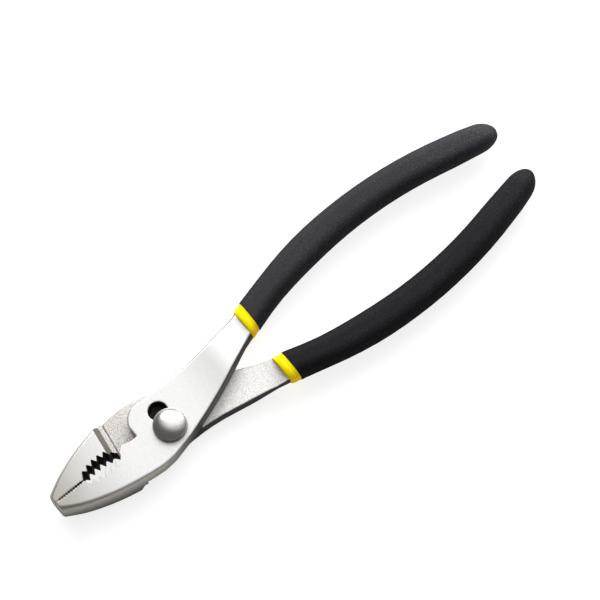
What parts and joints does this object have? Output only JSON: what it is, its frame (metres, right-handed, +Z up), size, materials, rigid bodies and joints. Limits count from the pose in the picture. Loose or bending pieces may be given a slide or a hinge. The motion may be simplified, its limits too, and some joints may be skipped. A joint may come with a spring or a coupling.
{
  "type": "slip joint pliers",
  "caption": "Slip joint pliers with serrated jaws, a wire-cutting notch, a slip slot under a domed bolt, and dipped handles with a yellow band under the black coat.",
  "frame": {"origin": "on the bolt's axis, at the free face of the nut, which is the lowest face of the tool lying flat", "axes": "+X along the tool's mid-line from the bolt to the handle ends, with the jaws toward -X; +Y across the tool toward the front lever's handle; +Z up through the bolt to its domed head"},
  "size_m": [0.1985, 0.0507, 0.0166],
  "materials": {
    "forged_steel": "satin bright plate on ground faces, fine speckle in the recessed plates",
    "bright_steel": "polished",
    "first_coat": "glossy dipped plastic, yellow",
    "second_coat": "matte dipped plastic, black with a fine speckle"
  },
  "bodies": {
    "front": {"front_lever": "forged_steel", "front_grip_base": "first_coat", "front_grip": "second_coat"},
    "carrier": {"pivot_washer": "bright_steel"},
    "rear": {"rear_lever": "forged_steel", "pivot_bolt": "bright_steel", "pivot_nut": "bright_steel", "rear_grip_base": "first_coat", "rear_grip": "second_coat"}
  },
  "joints": [
    {"name": "slip", "type": "slide", "parent": "front", "child": "carrier", "axis": [0, 1, 0], "range_m": [0, 0.007]},
    {"name": "jaw_hinge", "type": "hinge", "parent": "carrier", "child": "rear", "pos_m": [0, 0, 0.0078], "axis": [0, 0, -1], "range_deg": [0, 60]}
  ]
}
